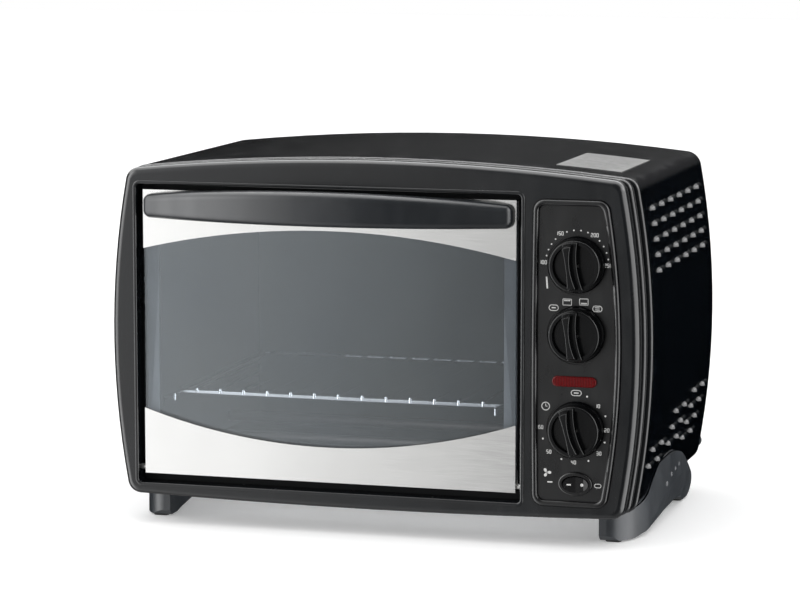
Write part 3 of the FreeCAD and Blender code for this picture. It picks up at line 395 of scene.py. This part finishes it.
# function dial: off pill, top heat, bottom heat, both heats
PILL_W, PILL_H, PILL_LINE = 0.0072, 0.0042, 0.00055
BOX_HALF_W, BOX_HALF_H = 0.0033, 0.0033 * 0.7
x, z = at("function", -42, 0.0267)
marks = pill(x, z, PILL_W, PILL_H, PILL_LINE)
marks.append(dash(x, z, 0.0016, 0.0009))
for angle, side in ((-17, 1), (12, -1)):
    x, z = at("function", angle, 0.0256)
    for level in (-1, 1):
        marks.append(dash(x, z + level * BOX_HALF_H, BOX_HALF_W, 0.0005))
    for edge in (x - BOX_HALF_W, x + BOX_HALF_W):
        marks.append(bar(edge, z - BOX_HALF_H, edge, z + BOX_HALF_H, 0.0005))
    marks.append(dash(x, z + side * 0.0012, 0.0024, 0.0009))
x, z = at("function", 38, 0.0256)
marks += pill(x, z, PILL_W, PILL_H, PILL_LINE)
marks += [dash(x, z + side * 0.0008, 0.0018, 0.0006) for side in (-1, 1)]
merged("function_icons", marks)

# timer dial: off pill, minutes, dots between them and a clock face
x, z = at("timer", 0, 0.0282)
marks = pill(x, z, 0.0078, 0.0040, 0.0006)
marks.append(dash(x, z, 0.0018, 0.0009))
for value, angle, radius in (("10", 41, 0.0251), ("20", 88, 0.0238), ("30", 134, 0.0247),
                             ("40", 184, 0.0250), ("50", 230, 0.0274), ("60", 272, 0.0274)):
    marks += number(value, *at("timer", angle, radius))
dots = []
for angle, radius in ((18, 0.0272), (63, 0.0254), (111, 0.0238), (157, 0.0252), (206, 0.0254), (253, 0.0268)):
    dots.append(disc(*at("timer", angle, radius), 0.00075))
x, z = at("timer", -54, 0.0292)
marks += ring(x, z, 0.0030, 0.0006)
marks += [bar(x, z, x, z + 0.0019, 0.0005), bar(x, z, x + 0.0014, z, 0.0005)]
merged("timer_scale", marks)
merged("timer_dots", dots)

# fan symbol beside the rocker: three swept blades round a hub
FAN_X, FAN_Z, BLADE_LENGTH, BLADE_SWEEP = 0.1405, 0.0580, 0.0036, math.radians(70)
blades = []
for k in range(3):
    start = math.radians(90 + 120 * k)
    points = [(FAN_X, FAN_Z)]
    for i in range(7):
        t = i / 6
        a = start + BLADE_SWEEP * t
        r = BLADE_LENGTH * math.sin(math.pi * (0.15 + 0.75 * t)) ** 0.7
        points.append((FAN_X + r * math.cos(a), FAN_Z + r * math.sin(a)))
    blades.append(points)
merged("fan_symbol", blades + [disc(FAN_X, FAN_Z, 0.0008, 10)])

# plain on and off marks: beside the rocker, and on it, where they take its rest tilt
on_mark, off_mark = dash(0.1430, 0.0508, 0.0020, 0.0010), pill(0.1802, 0.0496, 0.0050, 0.0028, 0.0005)
merged("rocker_side_marks", [on_mark] + off_mark)
pivot = Matrix.Translation(Vector((ROCKER_X, ROCKER_PIVOT_Y, ROCKER_Z)))
tilt = pivot @ Matrix.Rotation(math.radians(ROCKER_REST_TILT), 4, "Z") @ pivot.inverted()
pair = [dash(ROCKER_X - 0.0050, ROCKER_Z, 0.0016, 0.0011), disc(ROCKER_X + 0.0050, ROCKER_Z, 0.0012)]
pair = merged("rocker_marks", pair, body="rocker", y=ROCKER_FACE_Y, depth=0.00015)
pair.data.transform(tilt)

# faint generic lines on the foil label, laid on the crown of the top
LINE_COUNT, LINE_PITCH, LINE_WIDTH, LINE_STEPS = 11, 0.0084, 0.0022, 6
TOP_HEIGHT, TOP_BOW = 0.29146, 3.6
label_low, label_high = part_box("label_plate")


def crown(x, y):
    return x, y, TOP_HEIGHT - (x * x) / TOP_BOW


verts, faces = [], []
for row in range(LINE_COUNT):
    y = label_low.y + 0.010 + LINE_PITCH * row
    start = label_low.x + 0.004
    length = label_high.x - (0.006 if row % 4 else 0.014) - start
    for i in range(LINE_STEPS):
        xa, xb = start + length * i / LINE_STEPS, start + length * (i + 1) / LINE_STEPS
        k = len(verts)
        verts += [crown(xa, y), crown(xb, y), crown(xb, y + LINE_WIDTH), crown(xa, y + LINE_WIDTH)]
        faces.append((k, k + 1, k + 2, k + 3))
mesh = bpy.data.meshes.new("label_lines")
mesh.from_pydata(verts, [], faces)
mesh.materials.append(MATS["print_grey"])
label_lines = bpy.data.objects.new("label_lines", mesh)
scene.collection.objects.link(label_lines)
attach(label_lines, "chassis")

# ------------------------------------------------------------- studio, camera
FLOOR_HALF, FLOOR_Z = 8, -0.0001
floor_mat = Paint("studio_floor")
cloud = floor_mat.noise(1.5, detail=2.0)
pale = floor_mat.ramp(cloud, [(0.3, (0.90, 0.90, 0.90)), (0.7, (0.93, 0.93, 0.93))])
floor_mat.link(pale, floor_mat.shader.inputs["Base Color"])
floor_mat.set(Roughness=0.9, Specular_IOR_Level=0.1, Emission_Strength=0.22)
floor_mat.shader.inputs["Emission Color"].default_value = (1, 1, 1, 1)
mesh = bpy.data.meshes.new("studio_floor")
corners = [(x * FLOOR_HALF, y * FLOOR_HALF, FLOOR_Z) for x, y in ((-1, -1), (1, -1), (1, 1), (-1, 1))]
mesh.from_pydata(corners, [], [(0, 1, 2, 3)])
mesh.materials.append(floor_mat.mat)
floor = bpy.data.objects.new("studio_floor", mesh)
scene.collection.objects.link(floor)
floor.visible_glossy = False

world = bpy.data.worlds.new("studio")
scene.world = world
world.use_nodes = True
wt = world.node_tree
wt.nodes.clear()


def wnode(kind, **values):
    n = wt.nodes.new(kind)
    for key, value in values.items():
        setattr(n, key, value)
    return n


def wmath(operation, a, b=0.0):
    n = wnode("ShaderNodeMath", operation=operation)
    for socket, value in zip(n.inputs, (a, b)):
        if isinstance(value, (int, float)):
            socket.default_value = value
        else:
            wt.links.new(value, socket)
    return n.outputs[0]


def wsmooth(value, a, b):
    n = wnode("ShaderNodeMapRange", interpolation_type="SMOOTHSTEP")
    n.inputs["From Min"].default_value = a
    n.inputs["From Max"].default_value = b
    wt.links.new(value, n.inputs["Value"])
    return n.outputs["Result"]


# What the object's gloss sees, by direction: a front card that brightens to the left, a strip on
# the right, a panel over and behind, and a weak glow from below. All other rays see an even light.
direction = wnode("ShaderNodeSeparateXYZ")
wt.links.new(wnode("ShaderNodeTexCoord").outputs["Generated"], direction.inputs[0])
dx, dy, dz = direction.outputs
path = wnode("ShaderNodeLightPath")
front = wsmooth(wmath("MULTIPLY", dy, -1.0), -0.05, 0.5)
left = wmath("MULTIPLY", dx, -1.0)
card = wmath("ADD", 0.13, wmath("MULTIPLY", wsmooth(left, 0.17, 0.39), 1.30))
card = wmath("ADD", card, wmath("MULTIPLY", wsmooth(left, 0.42, 0.75), 4.2))
strip = wmath("MULTIPLY", wsmooth(dx, 0.60, 0.82), wsmooth(wmath("MULTIPLY", dy, -1.0), -0.66, -0.40))
over = wmath("MULTIPLY", wsmooth(dz, 0.25, 0.50), wsmooth(dy, -0.45, 0.05))
under = wsmooth(wmath("MULTIPLY", dz, -1.0), 0.45, 0.9)
glow = wmath("MULTIPLY", front, card)
glow = wmath("ADD", glow, wmath("MULTIPLY", strip, 4.2))
glow = wmath("ADD", glow, wmath("MULTIPLY", over, 3.8))
glow = wmath("ADD", glow, wmath("MULTIPLY", under, 0.5))
glow = wmath("ADD", glow, wmath("MULTIPLY", wsmooth(dz, -0.02, 0.12), 0.05))
lit = wmath("MULTIPLY", wmath("SUBTRACT", 1.0, path.outputs["Is Glossy Ray"]), 1.10)
shade = wmath("ADD", wmath("MULTIPLY", path.outputs["Is Glossy Ray"], glow), lit)
strength = wmath("ADD", wmath("MULTIPLY", path.outputs["Is Camera Ray"], 1.0),
                 wmath("MULTIPLY", wmath("SUBTRACT", 1.0, path.outputs["Is Camera Ray"]), shade))
background = wnode("ShaderNodeBackground")
background.inputs["Color"].default_value = (1, 1, 1, 1)
wt.links.new(strength, background.inputs["Strength"])
wt.links.new(background.outputs[0], wnode("ShaderNodeOutputWorld").inputs["Surface"])


def softbox(name, place, target, w, h, watts):
    light = bpy.data.lights.new(name, "AREA")
    light.shape, light.size, light.size_y = "RECTANGLE", w, h
    light.energy = watts
    obj = bpy.data.objects.new(name, light)
    obj.location = place
    obj.rotation_euler = (Vector(target) - Vector(place)).to_track_quat("-Z", "Y").to_euler()
    scene.collection.objects.link(obj)


softbox("key_overhead", (-0.3, -0.5, 2.2), (0, 0, 0.1), 1.6, 1.2, 9)
softbox("left_card", (-2.0, -1.4, 0.9), (0, 0, 0.15), 1.0, 1.3, 7)

camera = bpy.data.cameras.new("camera")
camera.lens, camera.sensor_width = 147.0, 36.0
camera.clip_start, camera.clip_end = 0.05, 60.0
cam = bpy.data.objects.new("camera", camera)
cam.location = CAMERA_PLACE
cam.rotation_euler = (math.radians(90 - CAMERA_DOWN), 0.0, math.radians(CAMERA_TURN))
scene.collection.objects.link(cam)
scene.camera = cam
scene.view_settings.view_transform = "Standard"
scene.view_settings.look = "None"
